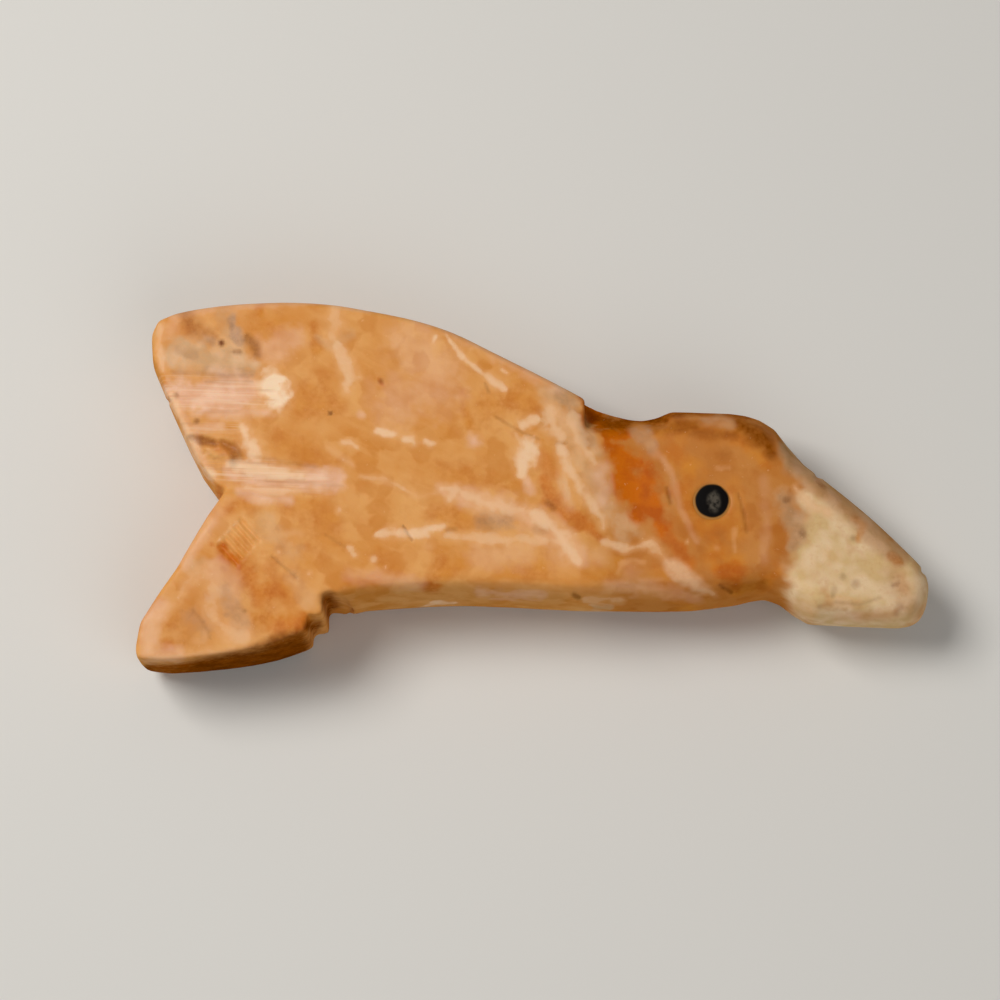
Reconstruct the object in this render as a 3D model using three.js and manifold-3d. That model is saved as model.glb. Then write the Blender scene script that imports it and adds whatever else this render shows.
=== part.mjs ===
// A small bird carved from a sawn slab of banded stone, lying on its left flank.
// Its head and beak point along +X, its back is towards +Y and its right flank faces up.
// The carver sawed the outline, rounded the rims, then ground facets and filed marks into
// it, and let a disc of jet into each side of the head. The model is made in that order.
import * as THREE from "three";
import Module from "manifold-3d";
import { mergeVertices } from "three/addons/utils/BufferGeometryUtils.js";

// Overall sizes, in millimetres
const LENGTH = 50; // about, from the tip of the beak to the end of the tail
const BODY_THICKNESS = 8.4; // flank to flank through the wing
const WING_TIP_THICKNESS = 7.8;
const NECK_THICKNESS = 7.4;
const HEAD_THICKNESS = 7.6;
const BEAK_TIP_THICKNESS = 4.4;

// How far each rim's rounding reaches in from the outline, and its squareness: 2 is an
// ellipse, more is a straighter wall with a tighter corner
const WING_RIM = { reach: 0.5, squareness: 2.8 };
const TAIL_RIM = { reach: 0.6, squareness: 3.5 };
const BELLY_RIM = { reach: 1.0, squareness: 2.4 };
const BREAST_RIM = { reach: 1.9, squareness: 2 };
const CROWN_RIM = { reach: 1.8, squareness: 2 };
const BEAK_RIM = { reach: 1.4, squareness: 2 };

// Eyes of jet
const EYE_DIAMETER = 2.1;
const EYE_DEPTH = 1.4;
const EYE_DOME = 0.12; // how far the middle of the disc stands above its edge
const EYE_SETBACK = 0.1; // the disc's edge below the flank
const EYE_CLEARANCE = 0.05; // the line of glue around and under the disc

// Ground facets, saw cuts and file cuts
const TAIL_FACET_SLOPE = 6.5; // degrees, down towards the end of the tail
const NECK_WHEEL_RADIUS = 3.6; // of the wheel that hollowed the edges of the neck
const NECK_HOLLOW_WIDTH = 2.3; // across the flank, where the wing ends
const NECK_HOLLOW_DEPTH = 2.6; // down the back, where the wing ends
const FILE_CUT_WIDTH = 2.1;
const FILE_CUT_DEPTH = 0.4; // at the rear end of the cut, running out forwards

// Mesh
const COLUMNS = 25; // along each half of the length, between the rounded ends
const ROWS = 6; // across each half of the flank, between the rounded rims
const ROUND_STEPS = 5; // across one rounding
const RIM_POINTS = 120; // along each long side, for measuring distances to the rim
const END_POINTS = 30; // along each short side
const CURVE_POINTS = 600; // for finding a place along a path
const WELD = 1e-4; // corners closer than this are one
const EYE_SIDES = 32;
const WHEEL_SIDES = 40;

const wasm = await Module();
wasm.setup();

// Places on the bird are in hundredths of its length, from the middle of its outline.
const at = (x, y) => new THREE.Vector2(x, y).multiplyScalar(LENGTH / 100);

const WING_TIP = [-49.1, 19.6];
const WING_END = [6.2, 10.9]; // a corner over the neck
const CROWN_START = [16.7, 10.2]; // a small step up from the neck
const BEAK_TOP = [50.2, -12.4];
const BEAK_UNDER = [48.9, -16.7];
const TAIL_TIP = [-50, -22.4];
const NOTCH = [-39.2, -1.4]; // where the tail meets the wing
const NOTCH_LEDGE = [-40.6, -0.9]; // the saw ran a little past the notch
const EYE = [22.1, -2.8];
const PAST_TAIL = -30; // below the tail, where the saw comes in
const TAIL_FACET_LINE = [[-41.5, -2.6], [-26, -15.2]]; // its edge on the flank
const UPPER_FILE_CUT = [[-47, 10.8], [-31.2, 10.8]]; // from the wing's rear edge
const LOWER_FILE_CUT = [[-42, 0.8], [-23.4, -1.3]];

// A path is a start and then stretches: one point is a straight line to it, several are a
// smooth curve through them.
function side(start, ...stretches) {
  const path = new THREE.Path([at(...start)]);
  for (const stretch of stretches) {
    const points = stretch.map((place) => at(...place));
    if (points.length === 1) path.lineTo(points[0].x, points[0].y);
    else path.splineThru(points);
  }
  return path;
}

const back = side(
  WING_TIP,
  [[-48, 21.3], [-44.4, 22.4], [-38, 23.2], [-30, 23.4], [-22.2, 22.6], [-12, 20.1], [-1.6, 15.1]],
  [WING_END],
  [[9, 9.6], [13.2, 8.95], [16.1, 9.55]],
  [CROWN_START],
  [[26, 9.95]],
  [[29.3, 8.8], [31.9, 6.7], [33.3, 4.1], [36.7, 1.3], [41.7, -2.7], [47.2, -7.8], [49.5, -10.2], BEAK_TOP],
);

const belly = side(
  TAIL_TIP,
  [[-47.6, -22.8], [-43, -22.6], [-37.8, -22], [-33.5, -21.2]],
  [[-28.7, -19.5], [-26, -17.6], [-23.4, -15.2]],
  [[-20, -14.8], [-9.4, -14.3], [3, -14.8], [12, -15.4], [20, -15.3], [26.4, -14.5]],
  [[28.4, -13.9], [30.2, -13.9], [31.9, -15], [34.2, -17]], // the throat
  [[46, -17.7]],
  [[47.9, -17.4], BEAK_UNDER],
);

const tailEdge = side(
  TAIL_TIP,
  [[-50.3, -21], [-50.2, -18.9], [-48.6, -15.9], [-44.6, -9.9], [-42, -4.9], NOTCH],
);
const wingEdge = side(
  NOTCH,
  [NOTCH_LEDGE],
  [[-43, 2.4], [-45.3, 7.2], [-48.6, 14.6], [-49.4, 17.2], WING_TIP],
);
const beakEnd = side(BEAK_UNDER, [[49.8, -15], BEAK_TOP]);

// Values set at places along the length, eased from each to the next
function eased(stations, x) {
  const share = (x / LENGTH) * 100;
  for (let i = 1; i < stations.length; i++) {
    const [from, a] = stations[i - 1];
    const [to, b] = stations[i];
    if (share <= to) return THREE.MathUtils.lerp(a, b, THREE.MathUtils.smoothstep(share, from, to));
  }
  return stations.at(-1)[1];
}

const THICKNESSES = [
  [-50, WING_TIP_THICKNESS],
  [-34, BODY_THICKNESS],
  [5, BODY_THICKNESS],
  [13, NECK_THICKNESS],
  [19, HEAD_THICKNESS],
  [27, HEAD_THICKNESS],
  [52, BEAK_TIP_THICKNESS],
];
const BACK_RIMS = [
  [6, WING_RIM],
  [14, CROWN_RIM],
  [31, CROWN_RIM],
  [37, BEAK_RIM],
];
const BELLY_RIMS = [
  [-27, TAIL_RIM],
  [-24, BELLY_RIM],
  [4, BELLY_RIM],
  [14, BREAST_RIM],
  [27, BREAST_RIM],
  [33, BEAK_RIM],
];
const halfThickness = (x) => eased(THICKNESSES, x) / 2;
const rimAt = (rims) => (x) => ({
  reach: eased(rims.map(([place, rim]) => [place, rim.reach]), x),
  squareness: eased(rims.map(([place, rim]) => [place, rim.squareness]), x),
});
const backRim = rimAt(BACK_RIMS);
const bellyRim = rimAt(BELLY_RIMS);

// The point of a path that is a share of the way from its start to its end, along one axis
function alongAxis(path, axis) {
  const points = path.getSpacedPoints(CURVE_POINTS);
  const start = points[0][axis];
  const span = points[CURVE_POINTS][axis] - start;
  return (share) => {
    const wanted = start + share * span;
    const i = points.findIndex((p) => (p[axis] - wanted) * span >= 0);
    if (i <= 0) return points[i < 0 ? CURVE_POINTS : 0].clone();
    const [a, b] = [points[i - 1], points[i]];
    return a.clone().lerp(b, (wanted - a[axis]) / (b[axis] - a[axis] || 1));
  };
}

const backAt = alongAxis(back, "x");
const bellyAt = alongAxis(belly, "x");
const beakEndAt = alongAxis(beakEnd, "y");
const tailEdgeAt = alongAxis(tailEdge, "y");
const wingEdgeAt = alongAxis(wingEdge, "y");
const rearAt = (share) => (share < 0.5 ? tailEdgeAt(share * 2) : wingEdgeAt(share * 2 - 1));

const MOST_ROUNDED = 0.4; // of a narrow span, by the rounding at one end

// The share of the rear side where the notch's ledge ends
const LEDGE_SHARE = 0.5 + (0.5 * (NOTCH_LEDGE[1] - NOTCH[1])) / (WING_TIP[1] - NOTCH[1]);

// Shares from one end of a span to its middle, close together over the rounding
function roundedShares(span, rim, middle, count) {
  const reach = Math.min(rim.reach / span, MOST_ROUNDED);
  const shares = [];
  for (let k = 0; k < ROUND_STEPS; k++) {
    const turn = (k / ROUND_STEPS) * (Math.PI / 2);
    shares.push(reach * (1 - Math.cos(turn) ** (2 / rim.squareness)));
  }
  for (let k = 0; k < count; k++) shares.push(THREE.MathUtils.lerp(reach, middle, k / count));
  return shares;
}

// Shares of a whole span, rounded at both ends, with the given stops between its halves
function spanShares(span, firstRim, lastRim, count, stops) {
  const first = roundedShares(span, firstRim, stops[0], count);
  const last = roundedShares(span, lastRim, 1 - stops.at(-1), count);
  return [...first, ...stops, ...last.reverse().map((share) => 1 - share)];
}

// A point inside the outline, blended from its four sides
function inside(u, v) {
  const across = bellyAt(u).lerp(backAt(u), v);
  const along = rearAt(v).lerp(beakEndAt(v), u);
  const cornered = bellyAt(0).lerp(bellyAt(1), u).lerp(backAt(0).lerp(backAt(1), u), v);
  return across.add(along).sub(cornered);
}

// The outline as one closed loop of points, each with the rounding there
function outlineLoop() {
  const loop = [];
  const run = (count, pointAt, rimOf) => {
    for (let i = 0; i < count; i++) {
      const p = pointAt(i / count);
      loop.push({ p, ...rimOf(p.x) });
    }
  };
  run(RIM_POINTS, bellyAt, bellyRim);
  run(END_POINTS, beakEndAt, () => BEAK_RIM);
  run(RIM_POINTS, (share) => backAt(1 - share), backRim);
  run(END_POINTS, (share) => wingEdgeAt(1 - share), () => WING_RIM);
  run(END_POINTS, (share) => tailEdgeAt(1 - share), () => TAIL_RIM);
  return loop;
}

const outline = outlineLoop();

// How far up the rounding a point is: 0 on the outline, 1 where the flat flank begins
function rise(point) {
  let nearest = { distance: Infinity };
  outline.forEach((a, i) => {
    const b = outline[(i + 1) % outline.length];
    const edge = b.p.clone().sub(a.p);
    const along = point.clone().sub(a.p).dot(edge) / (edge.lengthSq() || 1);
    const t = THREE.MathUtils.clamp(along, 0, 1);
    const distance = point.distanceTo(a.p.clone().addScaledVector(edge, t));
    if (distance < nearest.distance) nearest = { distance, a, b, t };
  });
  const { distance, a, b, t } = nearest;
  const reach = THREE.MathUtils.lerp(a.reach, b.reach, t);
  const squareness = THREE.MathUtils.lerp(a.squareness, b.squareness, t);
  const inwards = 1 - Math.min(1, distance / reach);
  return (1 - inwards ** squareness) ** (1 / squareness);
}

// One row of the grid runs through the notch, and the next through the end of its ledge.
function blankGrid() {
  const columns = spanShares(LENGTH, TAIL_RIM, BEAK_RIM, COLUMNS, [0.5]);
  return columns.map((u) => {
    const low = bellyAt(u);
    const high = backAt(u);
    const width = low.distanceTo(high);
    const rows = spanShares(width, bellyRim(low.x), backRim(high.x), ROWS, [0.5, LEDGE_SHARE]);
    return rows.map((v, j) => {
      const p = inside(u, v);
      const onRim = u === 0 || u === 1 || j === 0 || j === rows.length - 1;
      return new THREE.Vector3(p.x, p.y, onRim ? 0 : halfThickness(p.x) * rise(p));
    });
  });
}

// The rounded blank: two flanks over one grid, joined along the outline
function blank() {
  const grid = blankGrid();
  const last = { i: grid.length - 1, j: grid[0].length - 1 };
  const corners = [];
  for (const up of [1, -1]) {
    const vertex = ([i, j]) => grid[i][j].clone().multiply(new THREE.Vector3(1, 1, up));
    for (let i = 0; i < last.i; i++) {
      for (let j = 0; j < last.j; j++) {
        const [a, b, c, d] = [[i, j], [i + 1, j], [i + 1, j + 1], [i, j + 1]];
        // Diagonals run out of the grid's four corners, so that no face lies along the rim.
        const outOfCorner = i < last.i / 2 === j < last.j / 2;
        const faces = outOfCorner ? [a, b, c, a, c, d] : [a, b, d, b, c, d];
        if (up < 0) faces.reverse();
        corners.push(...faces.map(vertex));
      }
    }
  }
  return new THREE.BufferGeometry().setFromPoints(corners);
}

// From a three.js geometry to a solid for cutting, and back
function solidOf(geometry) {
  const bare = geometry.clone();
  for (const name of ["normal", "uv"]) bare.deleteAttribute(name);
  const merged = mergeVertices(bare, WELD);
  const vertProperties = merged.attributes.position.array;
  const triVerts = new Uint32Array(merged.index.array);
  return new wasm.Manifold(new wasm.Mesh({ numProp: 3, vertProperties, triVerts }));
}

function geometryOf(solid) {
  const mesh = solid.getMesh();
  const geometry = new THREE.BufferGeometry();
  geometry.setAttribute("position", new THREE.BufferAttribute(mesh.vertProperties, 3));
  geometry.setIndex(new THREE.BufferAttribute(mesh.triVerts, 1));
  geometry.computeVertexNormals();
  return geometry;
}

// The same shape turned over for the left flank: mirrored, with its faces wound the other way
function onLeftFlank(geometry) {
  const mirrored = geometry.toNonIndexed().scale(1, 1, -1);
  const corners = mirrored.getAttribute("position");
  const corner = (i) => new THREE.Vector3().fromBufferAttribute(corners, i);
  const points = [];
  for (let i = 0; i < corners.count; i += 3) points.push(corner(i), corner(i + 2), corner(i + 1));
  return new THREE.BufferGeometry().setFromPoints(points);
}

// A block whose underside is a plane: it meets the flank in the line between two places and
// leans down to the right of it, seen along the line.
function facet([start, end], slope) {
  const from = at(...start);
  const to = at(...end);
  const along = new THREE.Vector3(to.x - from.x, to.y - from.y, 0).normalize();
  const up = new THREE.Vector3(0, 0, 1);
  const frame = new THREE.Matrix4().makeBasis(along, new THREE.Vector3().crossVectors(up, along), up);
  return new THREE.BoxGeometry(2 * LENGTH, 2 * LENGTH, BODY_THICKNESS)
    .translate(0, 0, BODY_THICKNESS / 2)
    .rotateX(THREE.MathUtils.degToRad(slope))
    .applyMatrix4(frame)
    .translate((from.x + to.x) / 2, (from.y + to.y) / 2, BODY_THICKNESS / 2);
}

// The wheel's rim hollows the edge between flank and back, and its flat sides leave a
// shoulder at the end of the wing and another where the crown starts.
function neckHollow() {
  const from = at(...WING_END);
  const to = at(...CROWN_START);
  const chord = Math.hypot(NECK_HOLLOW_WIDTH, NECK_HOLLOW_DEPTH);
  const out = Math.sqrt(NECK_WHEEL_RADIUS ** 2 - (chord / 2) ** 2);
  const y = from.y - NECK_HOLLOW_WIDTH / 2 + (out * NECK_HOLLOW_DEPTH) / chord;
  const z = BODY_THICKNESS / 2 - NECK_HOLLOW_DEPTH / 2 + (out * NECK_HOLLOW_WIDTH) / chord;
  return new THREE.CylinderGeometry(NECK_WHEEL_RADIUS, NECK_WHEEL_RADIUS, to.x - from.x, WHEEL_SIDES)
    .rotateZ(Math.PI / 2)
    .translate((from.x + to.x) / 2, y, z);
}

// A file cut on the wing, from behind its rear edge to where it runs out
function fileCut([behind, out]) {
  const start = at(...behind);
  const end = at(...out);
  const run = start.distanceTo(end);
  return new THREE.BoxGeometry(2 * run, FILE_CUT_WIDTH, BODY_THICKNESS)
    .translate(-run, 0, BODY_THICKNESS / 2)
    .rotateY(-Math.atan2(FILE_CUT_DEPTH, run))
    .rotateZ(Math.atan2(end.y - start.y, end.x - start.x))
    .translate(end.x, end.y, BODY_THICKNESS / 2);
}

// A saw cut right through the slab, between the given corners
function sawCut(...places) {
  const shape = new THREE.Shape(places.map((place) => at(...place)));
  const depth = 2 * BODY_THICKNESS;
  return new THREE.ExtrudeGeometry(shape, { depth, bevelEnabled: false }).translate(0, 0, -depth / 2);
}

function eyeSocket() {
  const radius = EYE_DIAMETER / 2 + EYE_CLEARANCE;
  const floor = HEAD_THICKNESS / 2 - EYE_DEPTH - EYE_CLEARANCE;
  const centre = at(...EYE);
  return new THREE.CylinderGeometry(radius, radius, HEAD_THICKNESS, EYE_SIDES)
    .rotateX(Math.PI / 2)
    .translate(centre.x, centre.y, floor + HEAD_THICKNESS / 2);
}

function eyeDisc() {
  const radius = EYE_DIAMETER / 2;
  const edge = EYE_DEPTH - EYE_SETBACK;
  const profile = [new THREE.Vector2(0, 0), new THREE.Vector2(radius, 0)];
  for (const t of [0, 0.25, 0.5, 0.75]) {
    const turn = (t * Math.PI) / 2;
    profile.push(new THREE.Vector2(radius * Math.cos(turn), edge + EYE_DOME * Math.sin(turn)));
  }
  profile.push(new THREE.Vector2(0, edge + EYE_DOME));
  return new THREE.LatheGeometry(profile, EYE_SIDES).rotateX(Math.PI / 2);
}

// Two steps between the belly and the underside of the tail
const tailSteps = () => [
  sawCut([-26.7, -14.4], [-26.1, PAST_TAIL], [-23.4, PAST_TAIL], [-23.4, -15], [-24.2, -14.6]),
  sawCut([-28.6, -17.4], [-28.3, PAST_TAIL], [-26, PAST_TAIL], [-26, -17.1]),
];

function stoneBird() {
  const onBothFlanks = [
    facet(TAIL_FACET_LINE, TAIL_FACET_SLOPE),
    neckHollow(),
    fileCut(UPPER_FILE_CUT),
    fileCut(LOWER_FILE_CUT),
    eyeSocket(),
  ];
  const cutters = [...onBothFlanks, ...onBothFlanks.map(onLeftFlank), ...tailSteps()];
  return cutters.reduce((solid, cutter) => solid.subtract(solidOf(cutter)), solidOf(blank()));
}

const stone = new THREE.MeshStandardMaterial({ color: 0xd0905a, roughness: 0.45, metalness: 0 });
const jet = new THREE.MeshStandardMaterial({ color: 0x14100e, roughness: 0.3, metalness: 0 });

function named(name, geometry, material) {
  const mesh = new THREE.Mesh(geometry, material);
  mesh.name = name;
  return mesh;
}

function eye(name, flank) {
  const disc = named(name, eyeDisc(), jet);
  const centre = at(...EYE);
  disc.position.set(centre.x, centre.y, flank * (HEAD_THICKNESS / 2 - EYE_DEPTH));
  if (flank < 0) disc.rotation.x = Math.PI;
  return disc;
}

const body = named("stone_bird", geometryOf(stoneBird()), stone);
const bird = new THREE.Group();
bird.add(body, eye("right_eye", 1), eye("left_eye", -1));

// The origin is under the middle of the bird, on the surface it lies on.
const bounds = new THREE.Box3().setFromObject(body);
const middle = bounds.getCenter(new THREE.Vector3());
bird.position.set(-middle.x, -middle.y, -bounds.min.z);

export default bird;
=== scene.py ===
"""A small bird carved from honey-banded stone, with jet eyes, lying on a pale floor.

The bird's form comes from the frame. This script gives it its fine surface: softened edges,
file lines, a pit and nicks in the mesh, and the stone's bands, veins and stains as masks that
its material mixes, with painted shade and painted highlights among those masks. Lengths are
millimetres until a mesh is finished. Places on the bird are pixels of the 1000-pixel
photograph, which looks nearly straight down on the upper flank."""
import math

import bmesh
import bpy
import numpy as np
from mathutils import Matrix, Vector


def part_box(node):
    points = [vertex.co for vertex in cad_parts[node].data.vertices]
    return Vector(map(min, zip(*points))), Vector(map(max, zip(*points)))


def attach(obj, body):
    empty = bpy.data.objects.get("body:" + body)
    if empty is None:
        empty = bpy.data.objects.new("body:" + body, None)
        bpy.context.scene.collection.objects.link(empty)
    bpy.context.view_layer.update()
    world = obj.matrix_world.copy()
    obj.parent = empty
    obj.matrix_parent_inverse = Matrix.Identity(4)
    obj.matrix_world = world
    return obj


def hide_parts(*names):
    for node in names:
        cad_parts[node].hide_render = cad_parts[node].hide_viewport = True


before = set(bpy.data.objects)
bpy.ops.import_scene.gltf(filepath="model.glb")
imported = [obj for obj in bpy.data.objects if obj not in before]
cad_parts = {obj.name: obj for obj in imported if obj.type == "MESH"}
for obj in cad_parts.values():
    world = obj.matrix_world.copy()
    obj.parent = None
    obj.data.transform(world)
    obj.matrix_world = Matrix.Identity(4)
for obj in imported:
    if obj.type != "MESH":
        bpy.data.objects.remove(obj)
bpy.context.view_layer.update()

# Units
MM = 0.001
WELD = 0.001  # corners of the frame's loose triangles closer than this are one

# The photograph's view
PICTURE = 1000  # pixels across
FOCAL_LENGTH = 3120  # in pixels
SENSOR = 36.0
CAMERA_DISTANCE = 200.0
NEAREST_SEEN = 10.0  # from the camera
CAMERA_ELEVATION = math.radians(78.5)
VIEW_OFFSET = (-2.24, -0.68)  # from the middle of the bird's box to what the view is centred on

# The stone's mesh
VOXEL = 0.135
SOFTENING = 8  # rounds of smoothing, which leave edges rounded by about 0.25 mm
RUBBING = 40  # more rounds where the carver rubbed an edge away
EVENING = 2  # rounds after that, once the faces that rubbing stretched are small again
SMOOTHING = 0.5  # how far a round moves each corner towards the middle of those around it
FACES_KEPT = 0.65  # the share of the bird's faces that stay when its hidden side is thinned out
THINNED_FROM = 4 * VOXEL  # below the bird's middle height

# The carver's hand
GROUND_SWELL = 0.035  # how far the ground flank swells and dips
GROUND_SWELL_SIZE = 5.0
HAND_WOBBLE = 0.012
HAND_WOBBLE_SIZE = 1.4
FILE_LINE_DEPTH = 0.07
FILE_LINE_SPACING = 0.42
FILE_LINE_LENGTH = 9.0
FILE_LINE_SLOPE = math.radians(-2.5)
HATCH_DEPTH = 0.16
PIT_DEPTH = 0.22
NICK_DEPTH = 0.16
CRACK_DEPTH = 0.06
RUBBLE = (0.6, 0.4)  # a pit's middle share of its depth, and how far noise changes that share
RUBBLE_SIZE = 0.4

# How soft the edges of the carver's marks are. An edge of 0.5 fades over the whole mark.
MARK_SOFTNESS = 0.3  # of file cuts, hatch and pits
CRACK_SOFTNESS = 0.4
UNPOLISHED_SOFTNESS = 0.4
NICK_SOFTNESS = 0.45
RUBBED_SOFTNESS = 0.5

# How far up a face looks where the marks of a flank, or its polish, set in and are full
MARKED = (0.2, 0.7)
POLISHED = (0.35, 0.8)

# How noise carries the edges of bands and veins, in pixels, and frays them, as a share of
# their width, each with its size in millimetres
DRIFT = [(2.6, 1.8), (0.7, 0.5)]
FRAY = [(0.34, 0.9), (0.16, 0.3)]
FRAY_RISE = 3  # how fast the fray grows from nothing at a stroke's outer edge
UNDERSIDE_SHIFT = (26, -12)  # how far a vein has wandered where it comes out below, in pixels
UNDERSIDE_DRIFT = 2  # how many times the drift is added there

# Seeds of the noise
SWELL_SEED = 1
SCUFF_SEED = 3
WOBBLE_SEED = 5
FILE_LINE_SEED = 9
RUBBLE_SEED = 13
RESIN_SEED = 21
DRIFT_SEED = 40
FRAY_SEED = 70


def box_mm(node):
    low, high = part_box(node)
    return np.array(low) / MM, np.array(high) / MM


bird_low, bird_high = box_mm("stone_bird")
middle_height = (bird_low[2] + bird_high[2]) / 2
view_centre = (bird_low + bird_high) / 2 + np.array([*VIEW_OFFSET, 0])


def seen(points):
    """Where points of the bird are in the photograph, in pixels."""
    off = points - view_centre
    rise, run = math.sin(CAMERA_ELEVATION), math.cos(CAMERA_ELEVATION)
    depth = CAMERA_DISTANCE + off[:, 1] * run - off[:, 2] * rise
    across = FOCAL_LENGTH * off[:, 0] / depth
    up = FOCAL_LENGTH * (off[:, 1] * rise + off[:, 2] * run) / depth
    return np.stack([PICTURE / 2 + across, PICTURE / 2 - up], axis=1)


# Stains and veins, and painted shade where the bird lies in shade and painted highlights where
# its edges catch the light. Each has its strength, and the places that it runs through, with
# half its width there: x, y, r.
AMBER = {
    "rear of the wing's top": (0.8, [(184, 314, 6), (186, 325, 8), (195, 331, 9), (211, 337, 9)]),
    "under the rim": (0.9, [(258, 308, 4), (259, 316, 3)]),
    "top of the wing": (0.6, [(264, 330, 14), (276, 322, 9)]),
    "beside the long streak": (0.7, [(315, 328, 4), (318, 350, 5)]),
    "middle of the wing": (0.6, [(300, 398, 14), (322, 390, 16), (334, 402, 9)]),
    "front of the wing's middle": (0.5, [(282, 440, 12), (310, 452, 12), (336, 460, 6)]),
    "streak in the wing": (0.8, [(462, 391, 3), (466, 405, 4), (470, 421, 5)]),
    "ahead of the streak": (0.6, [(484, 402, 11), (515, 402, 12), (540, 410, 7)]),
    "over the pale swoosh": (0.4, [(440, 468, 10), (470, 474, 12), (500, 486, 12), (518, 480, 8)]),
    "on the belly": (0.5, [(380, 560, 10), (400, 575, 8)]),
    "belly under the bars": (0.7, [(446, 556, 10), (440, 574, 11), (462, 562, 8)]),
    "between bars and swoosh": (0.6, [(436, 512, 9), (460, 518, 10)]),
    "front of the belly": (0.6, [(500, 575, 6), (530, 572, 9), (552, 564, 8)]),
    "over the tail": (0.55, [(290, 505, 12), (320, 512, 16), (326, 540, 16)]),
    "front of the tail's root": (0.45, [(278, 548, 14), (306, 560, 14)]),
    "notch": (0.75, [(232, 508, 8), (246, 500, 9)]),
    "breast": (0.75, [(596, 578, 11), (612, 572, 12)]),
    "before the ring": (0.5, [(656, 570, 6), (664, 582, 7)]),
    "breast below the vein": (0.7, [(664, 588, 6), (690, 604, 9)]),
    "lower head": (0.9, [(716, 552, 11), (738, 568, 13), (728, 580, 9)]),
    "throat": (0.9, [(738, 588, 8), (762, 584, 7), (778, 574, 8)]),
    "crown": (0.9, [(650, 428, 10), (690, 430, 10), (716, 432, 10), (744, 438, 10)]),
    "below the eye": (0.6, [(708, 526, 9), (730, 516, 10), (736, 536, 10)]),
    "before the eye": (0.4, [(734, 486, 6), (736, 504, 8)]),
    "before the brow": (0.7, [(756, 452, 8), (764, 462, 6)]),
    "rear of the head": (0.8, [(668, 452, 11), (686, 468, 11), (688, 500, 11), (698, 526, 10)]),
    "rear of the tail": (0.75, [(170, 622, 8), (185, 618, 9), (197, 620, 9)]),
    "tip of the tail": (0.45, [(160, 640, 6), (178, 645, 7)]),
    "field of the tail": (0.6, [(238, 546, 10), (262, 572, 16), (264, 606, 17)]),
    "heart of the tail": (0.7, [(206, 596, 5), (206, 626, 6)]),
    "front of the tail": (0.85, [(246, 566, 9), (256, 590, 11), (284, 590, 12)]),
    "tail by the steps": (0.85, [(258, 618, 8), (280, 622, 10), (302, 622, 7)]),
    "beak's top": (0.7, [(856, 518, 4), (864, 526, 4), (858, 538, 3)]),
    "beak's middle": (0.7, [(892, 556, 4), (900, 563, 4)]),
    "beak's tip": (0.4, [(902, 576, 6), (904, 592, 6)]),
    "lower beak": (0.35, [(858, 617, 4), (890, 614, 6)]),
}
KHAKI = {
    "beak's rim": (0.45, [(812, 486, 6), (832, 500, 8), (862, 526, 7), (890, 552, 7)]),
    "beak's tip": (0.45, [(892, 570, 8), (906, 590, 10), (908, 610, 8)]),
    "beak's lower edge": (0.35, [(856, 618, 6), (890, 616, 7)]),
    "behind the wing's top": (0.95, [
        (176, 352, 11), (200, 356, 15), (228, 360, 13), (252, 366, 8)]),
    "up to the rim": (0.6, [(222, 312, 9), (229, 330, 8), (236, 346, 9)]),
    "at the end of the back": (0.9, [(556, 392, 8), (566, 402, 9), (578, 404, 6)]),
    "olive in the end of the back": (0.8, [(566, 404, 5), (571, 411, 5)]),
    "between the two long veins": (0.6, [
        (566, 436, 8), (578, 460, 8), (590, 482, 8), (596, 500, 7)]),
    "beside the first long vein": (0.5, [(563, 482, 4), (572, 508, 4)]),
    "beige between the veins": (0.6, [
        (548, 392, 8), (562, 424, 14), (578, 448, 14), (590, 478, 12), (604, 508, 12),
        (626, 536, 8)]),
    "below the shoulder": (0.7, [(590, 436, 6), (598, 452, 7)]),
    "over the breast": (0.6, [(606, 516, 10), (622, 524, 13), (636, 534, 6)]),
    "edge of the belly": (0.8, [(594, 607, 3), (610, 607, 3)]),
    "middle of the wing": (0.4, [(352, 333, 4), (330, 345, 5), (318, 338, 3)]),
    "root of the tail": (0.4, [(266, 524, 10), (290, 552, 10)]),
    "tail's upper edge": (0.5, [(193, 566, 7), (205, 560, 6)]),
    "before the beak": (0.6, [(784, 500, 9), (792, 518, 12), (796, 534, 8), (788, 546, 5)]),
    "steps": (0.3, [(296, 580, 8), (310, 600, 7)]),
}
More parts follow.
